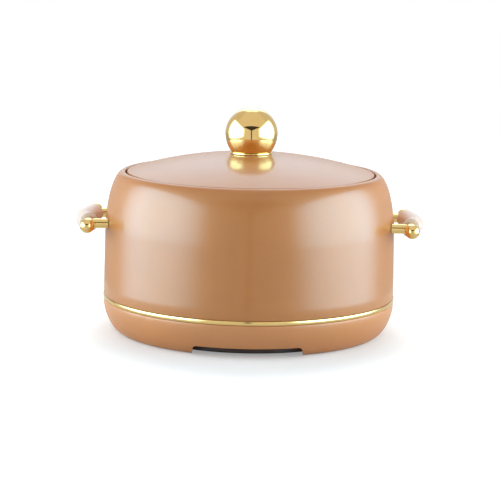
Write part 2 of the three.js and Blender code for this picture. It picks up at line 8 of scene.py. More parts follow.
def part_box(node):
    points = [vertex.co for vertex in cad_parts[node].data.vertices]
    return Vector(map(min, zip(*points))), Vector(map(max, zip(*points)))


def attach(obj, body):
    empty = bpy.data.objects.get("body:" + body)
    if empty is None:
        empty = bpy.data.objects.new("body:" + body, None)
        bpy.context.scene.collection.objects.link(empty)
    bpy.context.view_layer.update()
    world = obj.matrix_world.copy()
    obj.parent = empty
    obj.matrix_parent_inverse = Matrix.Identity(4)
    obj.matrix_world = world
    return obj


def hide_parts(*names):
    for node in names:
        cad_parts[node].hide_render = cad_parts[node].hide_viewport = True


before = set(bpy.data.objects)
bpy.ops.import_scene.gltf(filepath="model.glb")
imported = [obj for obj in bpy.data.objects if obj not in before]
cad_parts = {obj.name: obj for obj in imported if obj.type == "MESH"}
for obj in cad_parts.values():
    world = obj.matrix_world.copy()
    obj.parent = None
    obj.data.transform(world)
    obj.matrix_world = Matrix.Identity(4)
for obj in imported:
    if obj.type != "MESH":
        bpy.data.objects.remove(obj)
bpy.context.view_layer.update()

# Camera: a long lens a little above the pot, looking down at it with the slight tilt of the photograph.
# Colours are shown plainly, as they are written.
camera_data = bpy.data.cameras.new("camera")
camera_data.sensor_width = 36
camera_data.lens = 135.6
camera = bpy.data.objects.new("camera", camera_data)
bpy.context.scene.collection.objects.link(camera)
camera_place = (0.0006, -1.665, 0.357)
camera_pitch, camera_roll = math.radians(80.28), math.radians(1.08)
camera.matrix_world = (
    Matrix.Translation(camera_place)
    @ Matrix.Rotation(camera_pitch, 4, "X")
    @ Matrix.Rotation(camera_roll, 4, "Z")
)
bpy.context.scene.camera = camera
bpy.context.scene.view_settings.view_transform = "Standard"


# Table and floor: a matt white table top under the pot, and the white floor round it. Both glow a little,
# so that they look plain white. The glow is less in an oval round the pot, which is a painted shadow that
# deepens its shadow there. Only the table top shows in the pot's gloss.
class Reading:
    """A number or colour that a node gives, ready for sums."""

    def __init__(self, recipe, socket):
        self.recipe, self.socket = recipe, socket

    def sum_of(self, operation, first, second):
        return self.recipe.node("Math", {"operation": operation}, {0: first, 1: second})

    def __add__(self, other):
        return self.sum_of("ADD", self, other)

    def __sub__(self, other):
        return self.sum_of("SUBTRACT", self, other)

    def __rsub__(self, other):
        return self.sum_of("SUBTRACT", other, self)

    def __mul__(self, other):
        return self.sum_of("MULTIPLY", self, other)

    def __truediv__(self, other):
        return self.sum_of("DIVIDE", self, other)

    def __rtruediv__(self, other):
        return self.sum_of("DIVIDE", other, self)

    def __abs__(self):
        return self.sum_of("ABSOLUTE", self, 0.0)

    __radd__ = __add__
    __rmul__ = __mul__


class Recipe:
    """The nodes of one finish, or of the light."""

    def __init__(self, tree):
        self.tree = tree

    def node(self, kind, settings=None, sockets=None, gives=0):
        """Adds a node; gives names the output to read, or is a tuple of several."""
        made = self.tree.nodes.new("ShaderNode" + kind)
        for name, value in (settings or {}).items():
            setattr(made, name, value)
        for name, value in (sockets or {}).items():
            self.feed(made.inputs[name], value)
        if isinstance(gives, tuple):
            return tuple(Reading(self, made.outputs[name]) for name in gives)
        return Reading(self, made.outputs[gives])

    def feed(self, socket, value):
        """Links a reading to a socket, or sets a plain value on it; a colour is three numbers."""
        if isinstance(value, Reading):
            self.tree.links.new(value.socket, socket)
        else:
            socket.default_value = (*value, 1) if socket.type == "RGBA" else value

    def between(self, low, high, share):
        """A colour from low to high, by a share; each end is three numbers or a reading."""
        return self.node("Mix", {"data_type": "RGBA"}, {0: share, 6: low, 7: high}, gives=2)

    def stretch(self, value, low, high, to_low=0.0, to_high=1.0):
        """A reading between low and high, spread smoothly over another range."""
        settings = {"interpolation_type": "SMOOTHSTEP"}
        sockets = {0: value, 1: low, 2: high, 3: to_low, 4: to_high}
        return self.node("MapRange", settings, sockets)

    def mottle(self, low, high, noise):
        """A colour that drifts from low to high over a surface, as a noise does."""
        return self.between(low, high, self.stretch(noise, 0.3, 0.7))


def white_board():
    board_white, oval_squeeze = (0.68, 0.75, 0.80), (1.3, 1, 1)
    # The glow is lower in an oval round the pot's foot, as a painted shadow, and rises to the far glow
    # outside it.
    painted_shadow_glow, far_glow, painted_shadow_core, painted_shadow_edge = 0.31, 0.52, 0.155, 0.225
    material = bpy.data.materials.new("white_board")
    material.use_nodes = True
    recipe = Recipe(material.node_tree)
    material.node_tree.nodes.remove(material.node_tree.nodes["Principled BSDF"])
    seen = recipe.node("LightPath", gives="Is Camera Ray")
    where = recipe.node("TexCoord", gives="Object")
    oval = recipe.node("VectorMath", {"operation": "MULTIPLY"}, {0: where, 1: oval_squeeze})
    distance = recipe.node("VectorMath", {"operation": "LENGTH"}, {0: oval}, gives=1)
    painted_shadow_fade_out = recipe.stretch(distance, painted_shadow_core, painted_shadow_edge)
    level = recipe.between((painted_shadow_glow,) * 3, (far_glow,) * 3, painted_shadow_fade_out)
    board = recipe.node("BsdfDiffuse", None, {"Color": board_white})
    glow = recipe.node("Emission", None, {"Color": level, "Strength": seen})
    both = recipe.node("AddShader", None, {0: board, 1: glow})
    recipe.feed(material.node_tree.nodes["Material Output"].inputs["Surface"], both)
    return material


def flat_ring(name, inner, outer):
    """A flat ring or disc at table level, in metres."""
    bpy.ops.object.select_all(action="DESELECT")
    fill = "NGON" if inner == 0 else "NOTHING"
    bpy.ops.mesh.primitive_circle_add(vertices=96, radius=outer, fill_type=fill)
    board = bpy.context.object
    board.name = name
    if inner > 0:
        bpy.ops.object.mode_set(mode="EDIT")
        bpy.ops.mesh.extrude_edges_move()
        bpy.ops.transform.resize(value=(inner / outer, inner / outer, 1))
        bpy.ops.object.mode_set(mode="OBJECT")
    board.data.materials.append(white)
    return board


white = white_board()
table_radius, floor_radius = 0.3, 1.6
flat_ring("table_top", 0, table_radius)
floor = flat_ring("floor", table_radius, floor_radius)
floor.visible_glossy = floor.visible_shadow = False

# Studio light: a white tent that the gloss sees, with a lit panel on each side, a bright wall behind and
# the dark gap in its front that the camera looks through. Three soft lamps light the colours, one on each
# side and one high behind. In the tent, places on a wall are shares of the distance to it.
world = bpy.data.worlds.new("tent")
bpy.context.scene.world = world
world.use_nodes = True
world.cycles.sampling_method = "NONE"
tent = Recipe(world.node_tree)
facing = tent.node("TexCoord", gives="Generated")
right, back, up = tent.node("SeparateXYZ", None, {0: facing}, gives=(0, 1, 2))


def rising(value, edge):
    """From 0 to 1 across an edge, which is a pair of places."""
    return tent.stretch(value, *edge)


def falling(value, edge):
    """From 1 to 0 across an edge."""
    return 1 - rising(value, edge)


panel_front, panel_back, panel_foot, panel_top = (-1.75, -0.5), (0.1, 0.75), (-0.36, -0.04), (0.58, 0.84)
along, rise = back / abs(right), up / abs(right)
side_panels = (rising(along, panel_front) * falling(along, panel_back)
               * falling(rise, panel_top) * rising(rise, panel_foot))

wall_start, wall_top, wall_foot = (0.0, 0.15), (0.82, 0.88), (0.0, 0.5)
bright_half_width, table_start, table_level = (0.2, 0.45), (0.0, 0.4), (-0.15, 0.0)
sideways, height = abs(right / back), up / abs(back)
back_side = rising(back, wall_start) * falling(up, wall_top)
back_middle = falling(sideways, bright_half_width) * rising(up, wall_foot)
floor_side = rising(back, table_start) * falling(up, table_level)

gap_top, gap_half_width, gap_point, gap_slit, gap_blur = 0.81, 0.95, 0.32, 0.04, 0.02
slit_edge, slit_top = (gap_slit - 0.01, gap_slit + 0.01), (gap_point, gap_point + 0.05)
slit_foot, gap_face = (-1.0, -0.9), (-0.05, 0.0)
gap_slope = gap_half_width / (gap_top - gap_point)
gap_head = (rising((height - gap_point) * gap_slope - sideways, (0.0, gap_blur))
            * falling(height, (gap_top - gap_blur, gap_top + gap_blur)))
gap_stem = falling(sideways, slit_edge) * falling(height, slit_top) * rising(height, slit_foot)
gap_shape = tent.node("Math", {"operation": "MAXIMUM"}, {0: gap_head, 1: gap_stem})
front_gap = gap_shape * falling(back, gap_face)

is_camera, is_glossy, is_clear = tent.node(
    "LightPath", gives=("Is Camera Ray", "Is Glossy Ray", "Is Transmission Ray"))
tent_level, panel_level, back_level, ambient_level = 0.76, 6.6, 1.2, 0.57
back_dip, floor_dip, glow_lift, gap_darkness, panel_colour = 0.1, 0.2, 0.3, 0.94, (0.54, 1.03, 1.36)
back_glow = back_side * back_middle
cloth_in_gloss = (tent_level - back_side * back_dip - floor_side * floor_dip + back_glow * glow_lift) * (
    1 - front_gap * gap_darkness)
cloth = (is_camera + is_clear + is_glossy * cloth_in_gloss
         + (1 - is_camera - is_clear - is_glossy) * ambient_level)
white_light = tent.node("Background", None, {"Color": (1, 1, 1), "Strength": cloth})
panel_light = tent.node("Background", None, {
    "Color": panel_colour,
    "Strength": is_glossy * (side_panels * panel_level + back_glow * back_level)})
both_lights = tent.node("AddShader", None, {0: white_light, 1: panel_light})
world.node_tree.nodes.remove(world.node_tree.nodes["Background"])
tent.feed(world.node_tree.nodes["World Output"].inputs["Surface"], both_lights)


def soft_lamp(name, place, aim, width, height, radiance):
    """A broad lamp that lights colours and stays out of the gloss, with the radiance of its face."""
    data = bpy.data.lights.new(name, "AREA")
    data.shape = "RECTANGLE"
    data.size, data.size_y = width, height
    data.energy = radiance * math.pi * width * height
    lamp = bpy.data.objects.new(name, data)
    bpy.context.scene.collection.objects.link(lamp)
    lamp.location = place
    away = Vector(place) - Vector(aim)
    lamp.rotation_euler = away.to_track_quat("Z", "Y").to_euler()
    lamp.visible_camera = lamp.visible_glossy = False


for side, side_name in ((-1, "left"), (1, "right")):
    soft_lamp(f"{side_name}_lamp", place=(side * 1.1, -0.1, 0.3), aim=(0, 0, 0.08),
              width=1.3, height=0.8, radiance=2.4)
soft_lamp("back_lamp", place=(0, 1.7, 2.0), aim=(0, 0, 0.05), width=2.8, height=1.5, radiance=2.2)


# Foot: a moulded dark plate closes the base from below, held by four screws, with a rubber ring pressed
# on it that stands on the table.
MM = 0.001


def turn(name, outline, axis="Z", centre=(0, 0, 0), steps=144):
    """Turns an outline of (radius, place along the axis) pairs about an axis through a centre, in mm."""
    def spot(radius, along):
        offset = (radius, 0, along) if axis == "Z" else (radius, along, 0)
        return [(c + o) * MM for c, o in zip(centre, offset)]

    bpy.ops.object.select_all(action="DESELECT")
    bpy.ops.mesh.primitive_plane_add(size=MM)
    piece = bpy.context.object
    piece.name = piece.data.name = name
    bpy.ops.object.mode_set(mode="EDIT")
    bpy.ops.mesh.select_mode(type="VERT")
    bpy.ops.mesh.merge(type="CENTER")
    here = (0, 0, 0)
    for step, (radius, along) in enumerate(outline):
        there = spot(radius, along)
        move = tuple(b - a for a, b in zip(here, there))
        if step == 0:
            bpy.ops.transform.translate(value=move)
        else:
            bpy.ops.mesh.extrude_region_move(TRANSFORM_OT_translate={"value": move})
        here = there
    bpy.ops.mesh.select_all(action="SELECT")
    line = (0, 0, 1) if axis == "Z" else (0, 1, 0)
    pivot = tuple(c * MM for c in centre)
    bpy.ops.mesh.spin(steps=steps, angle=2 * math.pi, center=pivot, axis=line)
    tidy_mesh()
    bpy.ops.object.mode_set(mode="OBJECT")
    return piece


def tidy_mesh():
    """Merges doubled points and turns every face outwards, in edit mode."""
    bpy.ops.mesh.select_all(action="SELECT")
    bpy.ops.mesh.remove_doubles(threshold=0.002 * MM)
    bpy.ops.mesh.normals_make_consistent(inside=False)


def apply_modifier(piece, kind, **settings):
    """Adds a modifier to a piece and applies it at once."""
    bpy.ops.object.select_all(action="DESELECT")
    piece.select_set(True)
    bpy.context.view_layer.objects.active = piece
    modifier = piece.modifiers.new(kind.lower(), kind)
    for name, value in settings.items():
        setattr(modifier, name, value)
    bpy.ops.object.modifier_apply(modifier=modifier.name)


def soften_edges(piece, width, sharper_than=35, segments=3):
    """Rounds the edges that turn by more than an angle, width in mm."""
    apply_modifier(piece, "BEVEL", width=width * MM, segments=segments, limit_method="ANGLE",
                   angle_limit=math.radians(sharper_than), use_clamp_overlap=True)


def carve(piece, *cutters):
    """Cuts other shapes out of a piece and removes them."""
    for cutter in cutters:
        apply_modifier(piece, "BOOLEAN", operation="DIFFERENCE", solver="EXACT", object=cutter)
        bpy.data.objects.remove(cutter)


def fit(piece, finish, body, slot, *nodes):
    """Smooths a piece, gives it its finish and puts it on its body in place of its CAD nodes."""
    bpy.ops.object.select_all(action="DESELECT")
    piece.select_set(True)
    bpy.context.view_layer.objects.active = piece
    bpy.ops.object.shade_smooth_by_angle(angle=math.radians(32))
    piece.data.materials.clear()
    piece.data.materials.append(finish)
    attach(piece, body)
    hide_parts(*nodes)


def copy_of(piece, name, flip=(1, 1, 1)):
    """A copy with its own mesh, mirrored through the pot's middle where flip is -1."""
    bpy.ops.object.select_all(action="DESELECT")
    piece.select_set(True)
    bpy.context.view_layer.objects.active = piece
    bpy.ops.object.duplicate(linked=False)
    copied = bpy.context.object
    copied.name = copied.data.name = name
    bpy.ops.object.mode_set(mode="EDIT")
    bpy.ops.mesh.select_all(action="SELECT")
    bpy.ops.transform.resize(value=flip, center_override=(0, 0, 0))
    tidy_mesh()
    bpy.ops.object.mode_set(mode="OBJECT")
    return copied


def rod(name, radius, low, high, x=0, y=0, vertices=32):
    """An upright rod, in mm."""
    bpy.ops.object.select_all(action="DESELECT")
    bpy.ops.mesh.primitive_cylinder_add(vertices=vertices, radius=radius * MM, depth=(high - low) * MM,
                                        location=(x * MM, y * MM, (low + high) / 2 * MM))
    bpy.ops.object.transform_apply(location=True, rotation=True, scale=True)
    made = bpy.context.object
    made.name = made.data.name = name
    return made


def material_of(name, **plain):
    """A Principled material and its recipe; plain values go straight on the shader's sockets."""
    material = bpy.data.materials.new(name)
    material.use_nodes = True
    recipe, shader = Recipe(material.node_tree), material.node_tree.nodes["Principled BSDF"]
    for socket, value in plain.items():
        recipe.feed(shader.inputs[socket.replace("_", " ")], value)
    return material, recipe, shader


def grained_plastic(name, colour, roughness, grain_size, grain_depth):
    """Moulded plastic or rubber with an even tool grain, sizes in mm."""
    material, recipe, shader = material_of(name, IOR=1.48)
    where = recipe.node("TexCoord", gives="Object")
    cloud = recipe.node("TexNoise", None, {"Vector": where, "Scale": 90, "Detail": 3})
    grain_scale = 1 / (grain_size * MM)
    grain = recipe.node("TexVoronoi", {"feature": "SMOOTH_F1"}, {"Vector": where, "Scale": grain_scale})
    darker = [c * 0.86 for c in colour]
    lighter = [min(1, c * 1.12) for c in colour]
    sheen = recipe.stretch(cloud, 0.25, 0.75, roughness - 0.06, roughness + 0.06)
    bumps = recipe.node("Bump", None, {"Strength": 0.5, "Distance": grain_depth * MM, "Height": grain})
    recipe.feed(shader.inputs["Base Color"], recipe.mottle(darker, lighter, cloud))
    recipe.feed(shader.inputs["Roughness"], sheen)
    recipe.feed(shader.inputs["Normal"], bumps)
    return material


dark_base = grained_plastic("dark_base", (0.048, 0.030, 0.025), roughness=0.5, grain_size=0.5,
                            grain_depth=0.05)
rubber = grained_plastic("rubber_foot", (0.026, 0.019, 0.017), roughness=0.8, grain_size=0.35,
                         grain_depth=0.06)


def levels(node):
    """The lowest and highest level of a CAD node, in mm."""
    low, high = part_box(node)
    return low[2] / MM, high[2] / MM


def reach(node):
    """How far a CAD node reaches from the middle along +X, in mm."""
    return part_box(node)[1][0] / MM


foot_height, foot_outer, foot_width = levels("foot_ring")[1], reach("foot_ring"), 9.0
foot_inner = foot_outer - foot_width
groove_depth, groove_width, groove_slope, groove_places = 0.5, 2.0, 0.4, (2, 5)
foot_outline = [(foot_inner, 0)]
for groove_start in [foot_inner + place for place in groove_places]:
    groove_end = groove_start + groove_width
    foot_outline += [(groove_start, 0), (groove_start + groove_slope, groove_depth),
                     (groove_end - groove_slope, groove_depth), (groove_end, 0)]
foot_outline += [(foot_outer, 0), (foot_outer, foot_height), (foot_inner, foot_height), (foot_inner, 0)]
foot_ring = turn("foot_ring_rubber", foot_outline)
soften_edges(foot_ring, 0.3)
fit(foot_ring, rubber, "pot", "rubber_foot", "foot_ring")

plate_low, plate_high = levels("base_plate")
plate_radius = reach("base_plate")
screw_circle = (foot_outer + plate_radius) / 2
screw_angles = [math.radians(45 + 90 * quarter) for quarter in range(4)]
hole_radius, hub_radius, web_radius, rim_radius, plate_slope = 1.9, 26.0, 70.0, 88.0, 1.0
relief_level, web_level = plate_low + 0.6, plate_low + 0.1
plate_outline = [
    (0, relief_level), (hub_radius, relief_level), (hub_radius + plate_slope, web_level),
    (web_radius, web_level), (web_radius + plate_slope, relief_level),
    (rim_radius, relief_level), (rim_radius + plate_slope, plate_low), (plate_radius, plate_low),
    (plate_radius, plate_high), (0, plate_high)]
base_plate = turn("base_plate_moulding", plate_outline)
soften_edges(base_plate, 0.35)
screw_places = [(screw_circle * math.cos(a), screw_circle * math.sin(a)) for a in screw_angles]
carve(base_plate, *[rod("screw_hole", hole_radius, plate_low - 3, plate_high + 3, *place)
                    for place in screw_places])
fit(base_plate, dark_base, "pot", "dark_base", "base_plate")


def zinc_steel():
    """Zinc-plated steel of screws, rods and nuts."""
    material, recipe, shader = material_of("fastener_steel", Metallic=1.0, IOR=2.5)
    where = recipe.node("TexCoord", gives="Object")
    cloud = recipe.node("TexNoise", None, {"Vector": where, "Scale": 350, "Detail": 4})
    recipe.feed(shader.inputs["Base Color"], recipe.mottle((0.50, 0.51, 0.53), (0.66, 0.65, 0.61), cloud))
    recipe.feed(shader.inputs["Roughness"], recipe.stretch(cloud, 0.2, 0.8, 0.24, 0.42))
    return material


steel_fasteners = zinc_steel()
screw_head_low, screw_top = levels("base_screw_1")
head_radius, head_thickness, shank_radius, tip_radius, tip_length = 2.9, 1.5, 1.55, 0.9, 0.8
screw_head_high = screw_head_low + head_thickness
recess_size = (2.6, 0.5, 1.6)
screw_outline = [(0, screw_head_low), (1.6, screw_head_low + 0.08), (2.5, screw_head_low + 0.4),
                 (head_radius, screw_head_low + 0.9), (head_radius, screw_head_high),
                 (shank_radius, screw_head_high), (shank_radius, screw_top - tip_length),
                 (tip_radius, screw_top), (0, screw_top)]


def cross_recess(angle):
    """One arm of the cross in a screw's head."""
    bpy.ops.object.select_all(action="DESELECT")
    bpy.ops.mesh.primitive_cube_add(size=MM)
    bar = bpy.context.object
    bpy.ops.object.mode_set(mode="EDIT")
    bpy.ops.transform.resize(value=recess_size)
    bpy.ops.transform.rotate(value=angle, orient_axis="Z", center_override=(0, 0, 0))
    bpy.ops.transform.translate(value=(0, 0, screw_head_low * MM))
    bpy.ops.object.mode_set(mode="OBJECT")
    return bar


base_screw = turn("base_screw_model", screw_outline, steps=32)
carve(base_screw, cross_recess(0), cross_recess(math.pi / 2))
for number, (x, y) in enumerate(screw_places, 1):
    screw = copy_of(base_screw, f"base_screw_{number}_zinc")
    bpy.ops.object.mode_set(mode="EDIT")
    bpy.ops.mesh.select_all(action="SELECT")
    bpy.ops.transform.translate(value=(x * MM, y * MM, 0))
    bpy.ops.object.mode_set(mode="OBJECT")
    fit(screw, steel_fasteners, "pot", "fastener_steel", f"base_screw_{number}")
bpy.data.objects.remove(base_screw)


# Base skirt: a moulded dish under the shell with a full rounded foot, notched front and back so that a
# finger gets under it. It is sprayed in the shell's colour, without the shell's gloss. Its ground here is
# painted lighter than the shell's, as painted light for what the table throws up onto it.
def arc(centre, reach_r, reach_z, from_degrees, to_degrees, steps):
    """Points on an ellipse about a centre, in mm."""
    turned = to_degrees - from_degrees
    angles = [math.radians(from_degrees + turned * i / steps) for i in range(steps + 1)]
    return [(centre[0] + reach_r * math.cos(a), centre[1] + reach_z * math.sin(a)) for a in angles]


def curve(pulls, steps, inset=0.0, until=1.0):
    """Points along a curve that four points pull, moved to its left by an inset, in mm."""
    points = []
    for i in range(steps + 1):
        t = until * i / steps
        shares = ((1 - t) ** 3, 3 * t * (1 - t) ** 2, 3 * t * t * (1 - t), t ** 3)
        slopes = (-3 * (1 - t) ** 2, 3 * (1 - t) * (1 - 3 * t), 3 * t * (2 - 3 * t), 3 * t * t)
        r, z = (sum(s * p[k] for s, p in zip(shares, pulls)) for k in (0, 1))
        dr, dz = (sum(s * p[k] for s, p in zip(slopes, pulls)) for k in (0, 1))
        length = math.hypot(dr, dz)
        points.append((r - inset * dz / length, z + inset * dr / length))
    return points


pot_radius = reach("outer_shell")
skirt_low, skirt_top = levels("base_skirt")
skirt_straight, skirt_wall, skirt_lip_width, skirt_floor_thickness = 2.0, 2.5, 2.5, 5.0
skirt_lip_inset, skirt_pull_out, skirt_pull_down = 14.5, 0.48, 0.38
skirt_lip_outer = pot_radius - skirt_lip_inset
skirt_lip_inner = skirt_lip_outer - skirt_lip_width
skirt_floor_low = plate_high + 0.3
skirt_floor_high = skirt_floor_low + skirt_floor_thickness


def skirt_side(outer, low, steps):
    """The side's swing from the lip or the inner floor up to the straight top."""
    high = skirt_top - skirt_straight
    low_pull = (skirt_lip_outer + skirt_pull_out * (outer - skirt_lip_outer), low)
    high_pull = (outer, high - skirt_pull_down * (high - low))
    return curve([(skirt_lip_outer, low), low_pull, high_pull, (outer, high)], steps)


skirt_outline = [
    (0, skirt_floor_low),
    (skirt_lip_inner, skirt_floor_low),
    (skirt_lip_inner, skirt_low),
    *skirt_side(pot_radius, skirt_low, 28),
    (pot_radius, skirt_top),
    (pot_radius - skirt_wall, skirt_top),
    *reversed(skirt_side(pot_radius - skirt_wall, skirt_floor_high, 12)),
    (0, skirt_floor_high),
]
base_skirt = turn("base_skirt_moulding", skirt_outline, steps=180)
soften_edges(base_skirt, 0.5)

notch_top, notch_half_width, notch_slant, notch_corner = 9.0, 46.0, 2.2, 3.0
notch_length = 300.0


def notch_cutter():
    """A straight slot from front to back, open below, that spares what lies inside the lip."""
    bpy.ops.object.select_all(action="DESELECT")
    bpy.ops.mesh.primitive_cube_add(size=1)
    block = bpy.context.object
    bpy.ops.object.mode_set(mode="EDIT")
    foot_half_width = notch_half_width + notch_slant
    bpy.ops.transform.resize(value=(2 * foot_half_width * MM, notch_length * MM, 2 * notch_top * MM))
    mesh = bmesh.from_edit_mesh(block.data)
    for face in mesh.faces:
        face.select = face.normal.z > 0.5
    bmesh.update_edit_mesh(block.data)
    bpy.ops.transform.resize(value=(notch_half_width / foot_half_width, 1, 1))
    bpy.ops.mesh.select_mode(type="EDGE")
    mesh = bmesh.from_edit_mesh(block.data)
    for edge in mesh.edges:
        a, b = (v.co for v in edge.verts)
        edge.select = a.z > 0 and b.z > 0 and abs(a.x - b.x) < 1e-5
    bmesh.update_edit_mesh(block.data)
    bpy.ops.mesh.bevel(offset=notch_corner * MM, segments=6, affect="EDGES")
    bpy.ops.object.mode_set(mode="OBJECT")
    carve(block, rod("spared_middle", plate_radius, -2 * notch_top, 2 * notch_top, vertices=180))
    return block


carve(base_skirt, notch_cutter())
soften_edges(base_skirt, 0.3, sharper_than=50, segments=2)


def lacquer(name, roughness, coat, coat_roughness, ground_colour):
    """Rose-beige pearl lacquer: fine pale flakes in a copper ground, under clear varnish."""
    material, recipe, shader = material_of(
        name, IOR=1.5, Specular_IOR_Level=0.8, Specular_Tint=(1, 0.93, 0.82),
        Coat_Weight=coat, Coat_IOR=1.5, Coat_Roughness=coat_roughness)
    where = recipe.node("TexCoord", gives="Object")
    flakes = recipe.node("TexVoronoi", None, {"Vector": where, "Scale": 4200}, gives="Color")
    flake = recipe.node("SeparateColor", None, {0: flakes})
    cloud = recipe.node("TexNoise", None, {"Vector": where, "Scale": 28, "Detail": 2})
    peel = recipe.node("TexNoise", None, {"Vector": where, "Scale": 330, "Detail": 1})
    ground = recipe.mottle(ground_colour, [c * 1.06 for c in ground_colour], cloud)
    flake_colour = [c + 0.11 for c in ground_colour]
    flake_share = recipe.stretch(flake, 0.55, 1.0, 0.0, 0.3)
    sheen = recipe.stretch(flake, 0.0, 1.0, roughness - 0.04, roughness + 0.04)
    skin = recipe.node("Bump", None, {"Strength": 0.05, "Distance": 0.02 * MM, "Height": peel})
    recipe.feed(shader.inputs["Base Color"], recipe.between(ground, flake_colour, flake_share))
    recipe.feed(shader.inputs["Roughness"], sheen)
    recipe.feed(shader.inputs["Normal"], skin)
    return material


# The ground is lighter than the shell's. This is painted light, standing in for the light thrown up onto
# the skirt from the table.
satin_lacquer_painted_lighter = lacquer("skirt_lacquer", roughness=0.5, coat=0.4, coat_roughness=0.25,
                        ground_colour=(0.60, 0.245, 0.08))
fit(base_skirt, satin_lacquer_painted_lighter, "pot", "skirt_lacquer", "base_skirt")


# Outer shell: one moulded wall with a soft shoulder and a lip that turns down into the mouth, sprayed with
# pearl lacquer and clear varnish. It plugs into the skirt from above.
shell_wall, shoulder_height, mouth_radius, lip_round = 2.5, 49.5, 111.4, 1.5
wall_taper, band_gap, spigot_outer, spigot_inner = 1.1, 0.3, 127.2, 125.0
shoulder_pull_up, shoulder_pull_in, flange_width, flange_length = 0.4, 0.6, 2.2, 15.5
spigot_slope_low, spigot_slope_high, wall_inset = 2.0, 4.6, 0.2
band_low, band_high = levels("trim_band")
spigot_low, rim_level = levels("outer_shell")
shell_low, shoulder_low = band_high + band_gap, rim_level - shoulder_height
shoulder_radius, lip_crest = pot_radius - wall_taper, mouth_radius + lip_round
wall_lean = wall_taper / (shoulder_low - shell_low)
shoulder_start = shoulder_pull_up * shoulder_height
shoulder_pulls = [
    (shoulder_radius, shoulder_low),
    (shoulder_radius - wall_lean * shoulder_start, shoulder_low + shoulder_start),
    (lip_crest + shoulder_pull_in * (shoulder_radius - lip_crest), rim_level), (lip_crest, rim_level)]
flange_outer, flange_low = mouth_radius + flange_width, rim_level - flange_length
wall_steps = 6
shell_outline = [
    *[(pot_radius - wall_taper * i / wall_steps, shell_low + (shoulder_low - shell_low) * i / wall_steps)
      for i in range(wall_steps)],
    *curve(shoulder_pulls, 48),
    *arc((lip_crest, rim_level - lip_round), lip_round, lip_round, 90, 180, 8)[1:],
    (mouth_radius, flange_low),
    (flange_outer, flange_low),
    (flange_outer, rim_level - shell_wall),
    *reversed(curve(shoulder_pulls, 12, inset=shell_wall, until=0.85)),
    (pot_radius - shell_wall - wall_inset, shell_low + spigot_slope_high),
    (spigot_inner, shell_low + spigot_slope_low),
    (spigot_inner, spigot_low),
    (spigot_outer, spigot_low),
    (spigot_outer, shell_low),
    (pot_radius, shell_low),
]
outer_shell = turn("outer_shell_moulding", shell_outline, steps=180)
soften_edges(outer_shell, 0.3)
gloss_lacquer = lacquer("lacquer", roughness=0.5, coat=0.55, coat_roughness=0.12,
                        ground_colour=(0.475, 0.17, 0.032))
fit(outer_shell, gloss_lacquer, "pot", "lacquer", "outer_shell")


# Trim band: a thin flat brass strip, bent to a ring and gold plated, sprung round the joint of shell and
# skirt, which holds it from above and below.
def gold_plate(name, roughness, lines):
    """Bright gold plate; lines gives the strength of the fine marks that polishing leaves round a band."""
    material, recipe, shader = material_of(name, Metallic=1.0, IOR=1.5)
    where = recipe.node("TexCoord", gives="Object")
    cloud = recipe.node("TexNoise", None, {"Vector": where, "Scale": 60, "Detail": 3})
    level = recipe.node("Mapping", None, {"Vector": where, "Scale": (3, 3, 3000)})
    marks = recipe.node("TexNoise", None, {"Vector": level, "Scale": 1, "Detail": 2})
    sheen = recipe.stretch(cloud, 0.2, 0.8, roughness - 0.02, roughness + 0.02)
    skin = recipe.node("Bump", None, {"Strength": lines, "Distance": 0.01 * MM, "Height": marks})
    recipe.feed(shader.inputs["Base Color"], recipe.mottle((0.93, 0.63, 0.23), (0.97, 0.68, 0.27), cloud))
    recipe.feed(shader.inputs["Roughness"], sheen)
    recipe.feed(shader.inputs["Normal"], skin)
    return material


band_inner, band_outer, band_edge = 127.5, reach("trim_band"), 0.3
band_outline = [
    (band_inner, band_low), (band_outer - band_edge, band_low), (band_outer, band_low + band_edge),
    (band_outer, band_high - band_edge), (band_outer - band_edge, band_high), (band_inner, band_high),
    (band_inner, band_low)]
trim_band = turn("trim_band_strip", band_outline, steps=180)
soften_edges(trim_band, 0.15, segments=2)
band_gold = gold_plate("band_gold", roughness=0.14, lines=0.3)
fit(trim_band, band_gold, "pot", "gold_plate", "trim_band")


# Collar, bowl and foam: the moulded collar hooks under the shell's lip and carries the spun steel bowl by
# its rolled rim. Poured foam fills the space between bowl and shell and stays out of sight.
pale_plastic = grained_plastic("collar_plastic", (0.69, 0.55, 0.42), roughness=0.42, grain_size=0.6,
                               grain_depth=0.03)
collar_low, seat_level = levels("rim_collar")
collar_bore, bowl_step, collar_wall, hook_reach = 98.1, 104.4, 111.1, 116.1
collar_thickness, shelf_low = 2.5, seat_level - 3.6
shelf_high, hook_high, wall_inner = (
    shelf_low + collar_thickness, collar_low + collar_thickness, collar_wall - collar_thickness)
collar_outline = [
    (collar_bore, shelf_low), (collar_bore, shelf_high), (bowl_step, shelf_high), (bowl_step, seat_level),
    (collar_wall, seat_level), (collar_wall, hook_high), (hook_reach, hook_high), (hook_reach, collar_low),
    (wall_inner, collar_low), (wall_inner, shelf_low), (collar_bore, shelf_low)]
rim_collar = turn("rim_collar_moulding", collar_outline)
soften_edges(rim_collar, 0.35)
fit(rim_collar, pale_plastic, "pot", "collar_plastic", "rim_collar")


